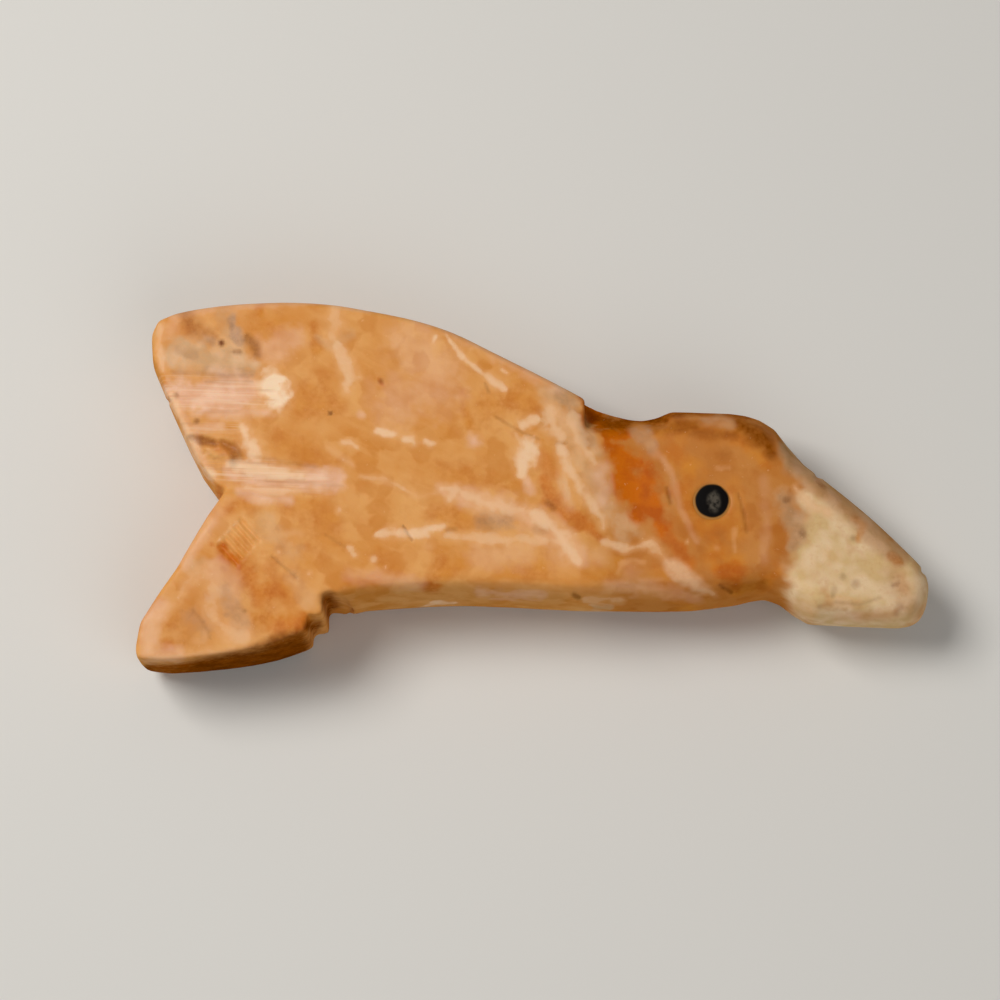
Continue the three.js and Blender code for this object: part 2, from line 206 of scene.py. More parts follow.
RUST = {
    "band behind the eye, top": (1.1, [(610, 442, 8), (623, 455, 14), (636, 464, 10)]),
    "band behind the eye": (1.2, [(627, 474, 14), (637, 486, 19), (650, 506, 16), (660, 524, 10)]),
    "foot of that band": (0.6, [(664, 532, 8), (678, 550, 8), (690, 562, 5)]),
    # Partly the stone's rust and partly painted shade in the neck's hollow under the shoulder
    "under the shoulder": (1.4, [(590, 404, 9), (594, 415, 10), (602, 422, 8)]),
    "dark band in the neck": (1.5, [(607, 433, 6), (617, 436, 9), (626, 434, 5)]),
    "stroke under the long veins": (0.6, [
        (545, 478, 6), (552, 496, 9), (570, 512, 10), (590, 526, 7), (602, 540, 4)]),
    "heart of that stroke": (0.5, [(545, 500, 4), (556, 508, 5)]),
    "above that stroke": (0.4, [(545, 458, 8), (550, 474, 9)]),
    "base of the tail": (0.8, [(221, 546, 5), (228, 554, 7), (237, 562, 5)]),
    "under the tail's steps": (0.4, [(276, 628, 7), (300, 622, 7)]),
    "middle of the tail": (0.3, [(251, 588, 6), (266, 592, 8), (280, 592, 6)]),
    "corner of the notch": (0.8, [(210, 544, 2.5)]),
    "lower head": (0.6, [(724, 568, 8), (738, 574, 8)]),
    "wedge below the hatch": (0.35, [(222, 548, 7), (234, 562, 9), (246, 578, 9), (256, 596, 9)]),
    "rim of the pit": (0.4, [(196, 436, 4), (214, 446, 5), (232, 450, 7)]),
    "fleck in the wing": (0.8, [(380, 378, 2.5), (382, 384, 2)]),
    "belly's edge": (0.6, [(426, 586, 4), (438, 588, 4)]),
    "belly's rear edge": (0.4, [(348, 582, 6), (374, 580, 6)]),
    "spot in the band": (0.7, [(657, 520, 3), (666, 520, 3)]),
    "tail's rear end": (0.4, [(170, 645, 5)]),
}
# Dark brown stains, and painted shade in the hollows, walls and turned-away edges named below
OCHRE_AND_SHADE = {
    # Painted shade in the neck's hollow under the shoulder
    "rear of the neck's hollow": (0.9, [(604, 420, 7), (611, 423, 9)]),
    "saddle of the neck": (1.0, [
        (606, 422, 8), (618, 424, 8), (632, 419, 5), (648, 419, 5), (664, 421, 5)]),
    "ledge of the hollow": (0.55, [(596, 428, 4), (606, 430, 6), (622, 429, 7)]),
    "shade of the tail": (0.1, [(176, 628, 26), (226, 596, 30), (252, 622, 20)]),
    # Painted shade where the crown turns away from the light
    "crown": (0.6, [(650, 425, 7), (672, 426, 8), (696, 427, 6)]),
    "edge of the crown's patch": (0.5, [(692, 431, 6), (712, 434, 7), (734, 434, 6)]),
    # Partly the stone's own brown and partly painted shade where the brow turns from the light
    "brow": (0.85, [(740, 424, 7), (752, 432, 10), (764, 440, 9), (772, 452, 6)]),
    "smudges over the eye": (0.2, [(723, 454, 6)]),
    "throat": (0.4, [(725, 585, 5), (742, 587, 6), (762, 584, 5)]),
    # Painted shade on the belly's wall, which faces away from the light
    "belly wall": (0.1, [(350, 596, 8), (420, 594, 8), (500, 596, 7), (560, 600, 5)]),
    # Painted shade on the tail's underside and in the saw cuts' steps, which lie in shadow
    "tail's underside": (1.0, [
        (180, 668, 6), (225, 663, 9), (250, 661, 10), (275, 655, 13), (300, 648, 14)]),
    "tail's underside, rear": (0.9, [(148, 668, 4), (180, 669, 6), (220, 667, 8)]),
    "first step": (1.0, [(328, 600, 7), (333, 608, 7)]),
    "second step": (0.95, [(308, 626, 5), (318, 626, 6)]),
    "stain by the tip of the beak": (0.45, [(897, 612, 4), (901, 606, 5)]),
    "spot on the beak's rim": (0.6, [(818, 481, 3.5), (824, 487, 3)]),
    # Painted shade on the rim over the beak, which turns away from the light
    "rim over the beak": (0.35, [
        (780, 448, 6), (806, 474, 7), (840, 504, 8), (876, 538, 8), (900, 562, 6)]),
    "glaze on the beak's tip": (0.22, [(896, 584, 14), (908, 606, 10)]),
    # Painted shade along the crown's edge, which turns away from the light
    "crown's edge": (0.8, [(660, 415, 5), (690, 412, 5), (720, 411, 5), (746, 416, 5)]),
    "small spot on the tail": (0.5, [(226, 616, 2.5)]),
    "heart of the rust stroke": (0.5, [(548, 502, 2.5), (554, 508, 3)]),
}
CREAM = {
    "beak's cheek": (1.0, [(804, 576, 20), (814, 596, 18)]),
    "beak": (1.0, [(812, 560, 22), (840, 566, 36), (872, 584, 36), (905, 590, 30)]),
    "beak's top": (0.95, [
        (806, 500, 10), (826, 514, 16), (856, 536, 18), (890, 562, 16), (915, 584, 14)]),
    "beak's rim": (0.6, [
        (786, 448, 8), (798, 464, 10), (818, 484, 12), (846, 510, 12), (880, 540, 10)]),
    "foot of the beak": (1.0, [
        (800, 594, 14), (806, 610, 14), (830, 620, 14), (870, 626, 12), (900, 622, 10)]),
    "beak's point": (1.0, [(904, 570, 14), (914, 594, 16), (906, 612, 14)]),
    "beak's heart": (1.0, [(822, 530, 24), (850, 580, 34), (880, 600, 26)]),
}
PINK = {
    "upper file cut": (0.95, [(178, 393, 14), (210, 394, 16), (250, 395, 15)]),
    "lower file cut": (0.9, [(230, 472, 8), (262, 475, 11), (300, 480, 10), (336, 480, 9)]),
    "under the lower file cut": (0.7, [(240, 490, 5), (264, 496, 7), (288, 500, 5)]),
    "between the file cuts": (0.45, [(188, 430, 4), (222, 426, 4)]),
    "swoosh": (0.5, [
        (442, 488, 7), (470, 498, 10), (505, 508, 11), (540, 520, 12), (566, 546, 11),
        (582, 560, 8)]),
    "foot of the upper file cut": (0.6, [(212, 412, 6), (266, 412, 6)]),
    "belly before the notch": (0.3, [(350, 575, 8), (420, 582, 6)]),
    # Painted highlight on the wing's rear edge, where it catches the light
    "wing's rear edge": (0.5, [(168, 380, 4), (186, 426, 5), (205, 465, 6)]),
    "rear of the wing's top": (0.2, [(172, 330, 6), (180, 312, 4)]),
    "top of the wing": (0.4, [(272, 350, 14), (292, 340, 12)]),
    "fleck in the middle": (0.55, [(360, 414, 4)]),
    "patch in the middle": (0.75, [(474, 441, 7)]),
    "under the blob": (0.65, [(529, 480, 4), (532, 491, 5)]),
    "heart of the ring": (0.2, [(630, 574, 9)]),
    "belly's front": (0.2, [(560, 556, 12), (600, 560, 8)]),
    "belly": (0.25, [(480, 556, 12), (520, 556, 12)]),
    "belly's edge": (0.5, [(480, 594, 4), (540, 596, 4)]),
    # Painted light on the belly's front edge, lifting it out of the wall's shade
    "front edge of the belly": (0.3, [(606, 584, 6), (660, 588, 7), (696, 598, 6)]),
    # Painted highlight along the wing's top rim, where it catches the light
    "rim of the wing": (0.4, [
        (172, 316, 4), (212, 307, 4), (262, 303, 4), (322, 302, 4), (382, 307, 5)]),
    "slope of the back": (0.4, [(420, 318, 6), (460, 332, 8), (510, 358, 9), (556, 384, 8)]),
    "peach of the wing": (0.3, [(420, 350, 26), (440, 390, 24), (400, 400, 24)]),
    "foot of the long veins": (0.5, [(602, 470, 8), (602, 500, 8)]),
    "head of the neck vein": (0.05, [(634, 431, 4), (643, 439, 7), (653, 449, 6)]),
    "neck vein": (0.22, [
        (653, 449, 6), (664, 460, 4), (672, 475, 3), (677, 492, 3), (682, 510, 3), (690, 530, 4),
        (696, 542, 4)]),
    "lower vein": (0.4, [(668, 564, 5), (686, 578, 7), (704, 590, 5)]),
    "tail's light patch": (0.35, [(216, 566, 8), (226, 580, 11), (236, 592, 8)]),
    "tail's grey patch": (0.15, [(240, 628, 9), (232, 606, 7)]),
    "tail's rear": (0.3, [(216, 506, 8), (200, 535, 8), (186, 562, 6)]),
    "tail's tip": (0.5, [(160, 606, 8), (150, 625, 8), (150, 652, 8), (180, 654, 6)]),
    "lower beak": (0.3, [(838, 618, 5), (856, 616, 4)]),
    "head before the eye": (0.15, [(764, 480, 5), (766, 520, 6), (764, 560, 5)]),
}
VIOLET = {
    "smudge on the wing": (0.9, [(231, 319, 4), (236, 330, 5), (240, 341, 4)]),
    "smudge in the khaki": (0.35, [(177, 349, 3), (191, 357, 4)]),
    "foot of the khaki": (0.3, [(180, 371, 4), (220, 374, 4), (252, 372, 3)]),
    "patch on the belly": (0.6, [(486, 521, 8), (505, 522, 8)]),
    "patch in the swoosh": (0.45, [(538, 530, 5), (545, 532, 5)]),
    "before the beak": (0.5, [(786, 502, 7), (794, 518, 10), (797, 534, 7), (790, 545, 5)]),
    "over the beak": (0.35, [(790, 470, 6), (806, 478, 6)]),
    "speck in the beak": (0.5, [(821, 607, 3)]),
    "head of the neck vein": (0.6, [(634, 431, 5), (642, 438, 7), (652, 447, 6)]),
    "lower vein": (0.35, [(668, 562, 5), (684, 576, 6), (700, 588, 5)]),
    "patch on the crown": (0.5, [(704, 422, 5), (718, 424, 6), (728, 425, 5)]),
    "tail": (0.45, [(222, 590, 6), (232, 608, 8), (240, 626, 6)]),
    "middle of the tail's tip": (0.4, [(192, 618, 9), (206, 630, 8)]),
    "tail's vein": (0.2, [(238, 638, 6)]),
}
PALE = {
    # Painted highlights on the wing's left corner and rear edge, where they catch the light
    "corner of the wing": (0.5, [(159, 326, 5), (160, 350, 4), (163, 372, 2.5)]),
    "lit rear edge of the wing": (0.6, [(172, 398, 4), (185, 428, 4.5), (200, 462, 5)]),
    "long streak, top": (0.5, [(336, 307, 7), (333, 322, 9), (331, 336, 7)]),
    "long streak, foot": (0.6, [(338, 345, 6), (344, 360, 8), (348, 374, 9), (344, 388, 6)]),
    "heart of the pale end": (1.5, [(272, 385, 12), (275, 396, 13)]),
    "end of the upper file cut": (0.8, [(268, 376, 9), (282, 388, 10), (280, 402, 10)]),
    "behind the lower file cut": (0.8, [(245, 428, 6), (248, 442, 10), (256, 454, 9)]),
    "lower file cut": (0.75, [(228, 465, 5), (258, 469, 7), (300, 476, 6)]),
    "foot of the lower file cut": (0.5, [(246, 488, 3), (276, 492, 5), (292, 490, 4)]),
    "lowest tip of the wing": (0.8, [(205, 470, 7), (216, 478, 5)]),
    "ahead of the lower file cut": (0.4, [(328, 446, 3), (340, 456, 4), (352, 465, 3)]),
    "vein below the back": (0.7, [
        (446, 333, 3), (456, 347, 3.5), (464, 361, 3), (475, 367, 3.5), (487, 378, 5),
        (498, 386, 5), (507, 390, 3)]),
    "chip by that vein": (0.7, [(436, 336, 2.5), (433, 343, 3)]),
    "flecks by that vein": (0.6, [(501, 370, 2), (507, 374, 2.5)]),
    "row of flecks, first": (0.6, [(342, 442, 3), (351, 443, 5), (357, 446, 3)]),
    "row of flecks, second": (0.8, [(375, 430, 3.5), (390, 434, 4)]),
    "row of flecks, third": (0.75, [(402, 439, 4), (412, 442, 6)]),
    "row of flecks, fourth": (0.7, [(426, 442, 3.5), (432, 445, 4.5)]),
    "lozenge": (0.7, [(522, 426, 6), (537, 420, 4)]),
    "over the blob": (0.5, [(513, 434, 4), (518, 441, 3)]),
    "blob": (0.85, [(526, 446, 9), (525, 461, 10), (524, 472, 6)]),
    "first long vein, head": (0.6, [(551, 414, 7), (555, 428, 9), (561, 438, 8)]),
    "first long vein": (0.66, [
        (560, 447, 7), (569, 467, 7), (580, 486, 7), (586, 499, 6), (594, 509, 6), (602, 519, 6),
        (604, 530, 4)]),
    "second long vein": (0.6, [(572, 416, 8), (578, 432, 9), (586, 448, 7), (595, 464, 5)]),
    "rear of the long veins": (0.5, [(566, 474, 6), (569, 500, 7)]),
    "patch behind the swoosh": (0.6, [(442, 487, 5), (455, 488, 6), (450, 500, 5)]),
    "swoosh, rear": (0.45, [
        (362, 475, 2.5), (385, 480, 4), (400, 487, 3), (420, 498, 4), (436, 493, 3)]),
    "swoosh, middle": (0.6, [(464, 494, 4), (484, 504, 7), (508, 509, 7), (532, 512, 8)]),
    "swoosh, front": (0.7, [(534, 514, 8), (552, 528, 9), (566, 546, 8), (576, 560, 5)]),
    "rear bar": (0.7, [(377, 535, 3), (388, 534, 6), (402, 534, 6)]),
    "front bar": (0.75, [(412, 534, 6), (428, 530, 7), (443, 527, 4)]),
    "below the front bar": (0.45, [(426, 546, 6)]),
    "long bar": (0.55, [(446, 536, 4), (470, 538, 6), (505, 540, 6), (545, 541, 5)]),
    "flecks on the belly": (0.6, [(350, 549, 3), (354, 556, 4)]),
    "more flecks on the belly": (0.6, [(373, 560, 4)]),
    "pin-point on the belly": (0.7, [(386, 566, 2)]),
    "fleck by the tail": (0.5, [(309, 572, 2.5)]),
    "fleck over the tail": (0.5, [(338, 509, 4)]),
    "fleck on the tail": (0.55, [(279, 552, 3)]),
    "ridge by the hatch": (0.6, [(217, 540, 1.6), (228, 530, 2), (237, 521, 2)]),
    "streak over the tail": (0.3, [(282, 533, 4), (300, 534, 4)]),
    # Painted light on the upper edge of the belly's wall, lifting it out of shade
    "upper edge of the belly's wall": (0.25, [
        (468, 586, 4), (520, 587, 4), (566, 588, 4), (612, 590, 4), (660, 592, 4)]),
    "ring in the breast": (0.32, [(618, 573, 2), (622, 565, 2.5), (632, 561, 2.5), (642, 564, 2)]),
    "lower vein, rear": (0.6, [(604, 544, 4), (630, 549, 5), (650, 543, 5)]),
    "lower vein, front": (0.5, [
        (652, 546, 6), (668, 562, 6), (684, 574, 7), (700, 588, 6), (714, 593, 4)]),
    "belly's edge by the breast": (0.5, [(586, 598, 4), (620, 598, 4)]),
    "chip on the belly's lower edge": (0.8, [(432, 604, 2), (456, 604.5, 2)]),
    "fleck in the head of the neck vein": (0.3, [(648, 445, 4)]),
    "neck vein": (0.12, [(663, 458, 3), (674, 477, 3), (680, 497, 2.5), (686, 518, 2.5)]),
    "fleck in the neck vein": (0.6, [(687, 542, 2.5)]),
    "crown": (0.08, [(706, 423, 5), (718, 424, 6), (728, 424, 4)]),
    "flecks in the head": (0.35, [(735, 531, 2.5), (736, 552, 2)]),
    "fleck below the eye": (0.35, [(717, 548, 2.5)]),
    "streak over the eye": (0.25, [(715, 468, 2), (728, 470, 2)]),
    "foot of the beak": (0.35, [(797, 606, 8), (812, 614, 9)]),
    "beak's cheek": (0.15, [(806, 566, 10), (826, 560, 12)]),
    "edge of the beak's top": (0.5, [(794, 486, 3), (802, 497, 4), (814, 508, 5), (828, 514, 4)]),
    "tail's upper light": (0.42, [
        (208, 562, 5), (200, 574, 8), (188, 586, 7), (172, 606, 6), (152, 628, 6), (149, 652, 6)]),
    "tail's curved vein": (0.5, [
        (208, 588, 8), (208, 606, 8), (216, 622, 8), (228, 634, 9), (244, 640, 9)]),
    "tail's small rings": (0.35, [(196, 641, 3), (204, 640, 3), (207, 632, 2.5)]),
    "tail's lower edge": (0.45, [(150, 656, 5), (175, 657, 5), (205, 652, 5), (235, 648, 4)]),
    "lower beak's line": (0.3, [(830, 600, 4), (860, 604, 4)]),
}
# Dark lines, cracks and specks, and painted shade in the marks that name shade or shadow
LINES_AND_SHADE = {
    "over the upper file cut": (0.2, [
        (172, 372, 2), (200, 374, 2.5), (226, 377, 2.5), (252, 376, 2)]),
    "second over the upper file cut": (0.18, [(205, 382, 1.5), (228, 382, 1.8), (252, 382, 1.5)]),
    "under the upper file cut": (0.1, [(196, 412, 1.6), (238, 412, 1.6)]),
    "over the lower file cut": (0.15, [(243, 455, 2), (280, 461, 2), (317, 467, 1.5)]),
    "in the lower file cut": (0.2, [(242, 474, 1.5), (305, 480, 1.5)]),
    "second in the lower file cut": (0.12, [(256, 480, 1.5), (300, 483, 1.8), (342, 486, 1.5)]),
    "rear of the wing's top": (0.32, [(184, 314, 7), (196, 330, 9), (210, 336, 8)]),
    "spot by the khaki": (1.1, [(222, 343, 3)]),
    "patch by the khaki": (0.5, [(248, 338, 4), (255, 346, 5), (257, 354, 4)]),
    "shade below the shoulder": (0.33, [(582, 420, 5), (584, 430, 6), (589, 442, 6)]),
    "fleck by the khaki": (0.5, [(234, 352, 2), (240, 352, 2)]),
    "shade at the end of the back": (0.26, [(560, 396, 6), (570, 404, 8), (577, 413, 7)]),
    "speck by the file cut": (0.6, [(197, 421, 2.5)]),
    "speck in the file cut": (0.45, [(176, 396, 2.5)]),
    "pit": (0.55, [(190, 437, 3), (203, 440, 5), (214, 443, 4)]),
    "second pit": (0.5, [(223, 443, 4), (232, 448, 6), (237, 456, 6), (233, 463, 4)]),
    "rubble in the pit": (0.2, [(206, 450, 2), (214, 458, 2), (224, 455, 2)]),
    "speck in the wing": (0.8, [(330, 413, 2)]),
    "fleck in the wing": (0.6, [(381, 381, 2.5)]),
    "crack ahead of the streak": (0.22, [
        (496, 417, 1.3), (508, 425, 1.6), (522, 433, 1.3), (538, 439, 1.2)]),
    "thin line by the vein": (0.3, [(485, 383, 1.4), (489, 392, 1.6)]),
    "hair crack in the bar": (0.45, [(403, 526, 1.2), (407, 533, 1.4), (412, 540, 1.2)]),
    "smudge by the bars": (0.25, [(448, 530, 2.5), (456, 529, 2)]),
    "spot on the belly's edge": (0.6, [(574, 594, 2.5), (578, 597, 2.5)]),
    "break in the first long vein": (0.2, [(556, 443, 1.5), (566, 443, 1.5)]),
    "line along the band": (0.4, [(667, 488, 1.8), (671, 503, 2.2)]),
    "crack before the eye": (0.3, [(738, 494, 1.4), (744, 515, 2), (747, 532, 1.5)]),
    "line in the throat": (0.6, [(720, 585, 1.6), (731, 592, 1.8)]),
    "spot before the beak": (0.5, [(787, 500, 3.5)]),
    "second spot before the beak": (0.4, [(802, 533, 3.5)]),
    "spot in the beak": (0.4, [(853, 538, 3)]),
    "grey speck in the beak": (0.3, [(843, 577, 3)]),
    "second grey speck": (0.35, [(856, 584, 4)]),
    "third grey speck": (0.25, [(835, 589, 3), (833, 596, 2)]),
    "scratch in the lower beak": (0.2, [(836, 602, 1.5), (860, 604, 1.8), (880, 597, 1.5)]),
    "fleck by the tip": (0.45, [(893, 585, 2), (898, 583, 2)]),
    "crack at the tail's front": (0.25, [(272, 556, 1.2), (280, 563, 1.6), (296, 577, 1.4)]),
    "line on the tail": (0.2, [(193, 610, 1.5), (204, 623, 1.8), (210, 638, 1.5)]),
    "line over the tail": (0.15, [(326, 535, 1.5), (345, 547, 1.5)]),
    "shadow under the shoulder": (0.15, [(588, 406, 8), (595, 415, 9), (606, 421, 7)]),
    "shadow in the saddle": (0.25, [(626, 421, 6), (646, 418, 6), (664, 417, 5)]),
    # Painted shade deep in the tail's underside
    "shade deep in the tail's underside": (0.9, [
        (200, 670, 8), (230, 666, 10), (262, 660, 12), (294, 651, 14)]),
    "second spot on the tail": (0.35, [(244, 611, 2)]),
}
# Each mineral's marks, with painted shade and highlights among them, how soft their edges are,
# and how much of the drift they follow
STAINS = {
    "cream": (CREAM, 0.3, 0.35), "amber": (AMBER, 0.48, 1.0), "khaki": (KHAKI, 0.42, 1.0),
    "rust": (RUST, 0.36, 1.0), "ochre_and_shade": (OCHRE_AND_SHADE, 0.45, 0.4), "pink": (PINK, 0.42, 0.8),
    "violet": (VIOLET, 0.42, 1.0), "pale": (PALE, 0.48, 0.9), "lines": (LINES_AND_SHADE, 0.4, 0.25),
}

# The carver's marks that the mesh follows, in the same way, with a depth in place of strength
FILED = [
    (1.0, [(165, 393, 15), (215, 394, 15), (262, 396, 12)]),
    (1.0, [(215, 468, 9), (262, 475, 13), (318, 480, 11)]),
    (0.6, [(188, 424, 9), (236, 426, 7)]),
]
PITS = [
    (1.0, [(190, 438, 2), (203, 441, 4.5), (214, 444, 3.5)]),
    (0.8, [(222, 443, 3), (232, 449, 6), (237, 457, 5.5)]),
    (0.5, [(205, 452, 5), (220, 456, 6)]),
]
NICKS = [
    (1.0, [(350, 611, 2.5)]), (0.7, [(311, 617, 2.5)]), (0.7, [(818, 476, 3)]),
    (0.6, [(470, 334, 3)]), (0.6, [(169, 402, 2.5)]), (0.8, [(924, 571, 3)]),
]
CRACKS = [
    (0.6, [(272, 556, 1.6), (280, 563, 2), (296, 577, 1.8)]),
    (0.7, [(403, 526, 1.5), (407, 533, 1.8), (412, 540, 1.5)]),
    (0.7, [(667, 488, 1.8), (671, 503, 2.2)]),
    (0.5, [(738, 494, 1.6), (744, 515, 2), (747, 532, 1.6)]),
    (0.5, [(496, 417, 1.6), (508, 425, 1.8), (522, 433, 1.6)]),
]
RUBBED = [(1.0, [(597, 430, 8), (606, 428, 11), (630, 426, 10), (660, 424, 8), (700, 422, 6)])]
RUBBED_ABOVE = (1.2, 2.2)  # over the bird's middle height, where rubbing sets in and is full
UNPOLISHED = [
    (1.0, [(586, 406, 12), (596, 420, 14), (612, 427, 12), (640, 422, 9), (664, 418, 7)]),
    (1.0, [(740, 424, 8), (756, 434, 9), (770, 450, 6)]),
]
FORWARD = (585, 640)  # where the head's deeper honey and painted shade start and are full
HATCH_START = (220, 545)  # the lower end of the line that the grooves start from
HATCH_END = (241, 521)
HATCH_GROOVES = 5
HATCH_RUN = (17, 19)  # along each groove
HATCH_HALF_WIDTH = 2.0


def hatch_strokes():
    """The short parallel file strokes at the base of the tail."""
    strokes = []
    for place in np.linspace(0, 1, HATCH_GROOVES):
        x = HATCH_START[0] + place * (HATCH_END[0] - HATCH_START[0])
        y = HATCH_START[1] + place * (HATCH_END[1] - HATCH_START[1])
        end = (x + HATCH_RUN[0], y + HATCH_RUN[1], HATCH_HALF_WIDTH / 2)
        strokes.append((1.0, [(x, y, HATCH_HALF_WIDTH), end]))
    return strokes


def smoothstep(values, low, high):
    share = np.clip((values - low) / (high - low), 0, 1)
    return share * share * (3 - 2 * share)


def noise(points, size, seed, octaves=2):
    """Smooth noise from about -1 to 1, in blobs of about the given size in each direction."""
    cells = 32
    total = np.zeros(len(points))
    for octave in range(octaves):
        table = np.random.default_rng(seed + octave).uniform(-1, 1, (cells, cells, cells))
        place = points / size * 2**octave
        corner = np.floor(place).astype(int)
        share = place - corner
        share = share * share * (3 - 2 * share)
        for step in np.ndindex(2, 2, 2):
            weight = np.prod(np.where(step, share, 1 - share), axis=1)
            x, y, z = ((corner + step) % cells).T
            total += weight * table[x, y, z] / 2**octave
    return total


def closeness(places, stroke):
    """1 on a stroke's middle line, one half at its nominal edge, and 0 from twice that far."""
    best = np.zeros(len(places))
    ends = stroke[1:] or stroke  # a single place is a stroke of no length
    for (x0, y0, r0), (x1, y1, r1) in zip(stroke, ends):
        start, run = np.array([x0, y0]), np.array([x1 - x0, y1 - y0])
        along = np.clip((places - start) @ run / max(run @ run, 1e-9), 0, 1)
        away = np.linalg.norm(places - start - along[:, None] * run, axis=1)
        best = np.maximum(best, 1 - away / (2 * (r0 + along * (r1 - r0))))
    return best


def painted(places, strokes, softness, fray=0):
    """The strongest of some strokes at each place, with edges of the given softness."""
    mask = np.zeros(len(places))
    for strength, stroke in strokes:
        near = closeness(places, stroke)
        frayed = near + fray * np.clip(FRAY_RISE * near, 0, 1)
        edge = smoothstep(frayed, 0.5 - softness, 0.5 + softness)
        mask = np.maximum(mask, strength * edge)
    return mask


def drift(points):
    """How far noise carries the stone's bands and veins at each point, in pixels."""
    moved = np.zeros((len(points), 2))
    for layer, (reach, size) in enumerate(DRIFT):
        for axis in (0, 1):
            moved[:, axis] += reach * noise(points, size, DRIFT_SEED + 10 * layer + axis)
    lower = smoothstep(middle_height - points[:, 2], 0, middle_height - bird_low[2])
    moved *= 1 + UNDERSIDE_DRIFT * lower[:, None]
    return moved + lower[:, None] * np.array(UNDERSIDE_SHIFT)


def per_corner(mesh, kind):
    """The places of a mesh's corners, as "co", or their directions, as "normal"."""
    flat = np.empty(len(mesh.vertices) * 3)
    mesh.vertices.foreach_get(kind, flat)
    return flat.reshape(-1, 3)


def evaluated(piece):
    """A new mesh from a piece with its modifiers applied. The piece is removed."""
    graph = bpy.context.evaluated_depsgraph_get()
    result = bpy.data.meshes.new_from_object(piece.evaluated_get(graph))
    bpy.data.objects.remove(piece)
    return result


def placed(name, mesh):
    piece = bpy.data.objects.new(name, mesh)
    bpy.context.scene.collection.objects.link(piece)
    return piece


def welded_copy(node):
    """A node's mesh in millimetres, with the corners of its loose triangles joined."""
    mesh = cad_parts[node].data.copy()
    mesh.transform(Matrix.Scale(1 / MM, 4))
    work = bmesh.new()
    work.from_mesh(mesh)
    bmesh.ops.remove_doubles(work, verts=work.verts, dist=WELD)
    work.to_mesh(mesh)
    work.free()
    return mesh


def smooth(piece, rounds, group=""):
    """Adds rounds of smoothing to a piece, or to the corners of one of its groups."""
    smoothing = piece.modifiers.new("Smooth", "SMOOTH")
    smoothing.factor = SMOOTHING
    smoothing.iterations = rounds
    smoothing.vertex_group = group


def softened(mesh, rounds):
    """The mesh in small even faces, with its edges smoothed."""
    piece = placed("blank", mesh)
    even = piece.modifiers.new("Even", "REMESH")
    even.mode = "VOXEL"
    even.voxel_size = VOXEL
    smooth(piece, rounds)
    return evaluated(piece)


def grouped(mesh, weights):
    """A piece whose one vertex group holds the weights, to a tenth."""
    piece = placed("blank", mesh)
    piece.vertex_groups.clear()  # the mesh brings the names of the groups it had before
    group = piece.vertex_groups.new(name="place")
    levels = 10
    steps = np.round(weights * levels)
    for level in range(1, levels + 1):
        group.add(np.flatnonzero(steps == level).tolist(), level / levels, "REPLACE")
    return piece


def rubbed(mesh):
    """The mesh with the neck's hollow blended into the flank."""
    points = per_corner(mesh, "co")
    above = smoothstep(points[:, 2] - middle_height, *RUBBED_ABOVE)
    piece = grouped(mesh, above * painted(seen(points), RUBBED, RUBBED_SOFTNESS))
    smooth(piece, RUBBING, "place")
    return evaluated(piece)


def thinned_below(mesh):
    """The mesh with fewer faces on the flank that it lies on."""
    below = per_corner(mesh, "co")[:, 2] < middle_height - THINNED_FROM
    piece = grouped(mesh, below.astype(float))
    thin = piece.modifiers.new("Thin", "DECIMATE")
    thin.ratio = FACES_KEPT
    thin.vertex_group = "place"
    return evaluated(piece)


def file_lines(points):
    """Noise drawn out along the file's strokes."""
    x = points[:, 0] * math.cos(FILE_LINE_SLOPE) + points[:, 1] * math.sin(FILE_LINE_SLOPE)
    y = points[:, 1] * math.cos(FILE_LINE_SLOPE) - points[:, 0] * math.sin(FILE_LINE_SLOPE)
    along_file = np.stack([x, y, points[:, 2]], axis=1)
    size = np.array([FILE_LINE_LENGTH, FILE_LINE_SPACING, FILE_LINE_LENGTH])
    return noise(along_file, size, FILE_LINE_SEED)


def carve(mesh):
    """Moves the surface: hand-ground swells, file lines, hatch, pits, cracks and nicks."""
    points = per_corner(mesh, "co")
    facing = per_corner(mesh, "normal")
    places = seen(points)
    up = smoothstep(facing[:, 2], *MARKED)
    moved = GROUND_SWELL * noise(points, GROUND_SWELL_SIZE, SWELL_SEED)
    moved += HAND_WOBBLE * noise(points, HAND_WOBBLE_SIZE, WOBBLE_SEED)
    moved += FILE_LINE_DEPTH * file_lines(points) * up * painted(places, FILED, MARK_SOFTNESS)
    moved -= HATCH_DEPTH * up * painted(places, hatch_strokes(), MARK_SOFTNESS)
    rubble = RUBBLE[0] + RUBBLE[1] * noise(points, RUBBLE_SIZE, RUBBLE_SEED)
    moved -= PIT_DEPTH * up * rubble * painted(places, PITS, MARK_SOFTNESS)
    moved -= NICK_DEPTH * painted(places, NICKS, NICK_SOFTNESS)
    moved -= CRACK_DEPTH * up * painted(places, CRACKS, CRACK_SOFTNESS)
    points += facing * moved[:, None]
    points = np.clip(points, bird_low, bird_high)
    mesh.vertices.foreach_set("co", points.ravel())
    mesh.update()


def keep_mask(mesh, name, values):
    attribute = mesh.attributes.new(name, "FLOAT", "POINT")
    attribute.data.foreach_set("value", values.astype(np.float32))


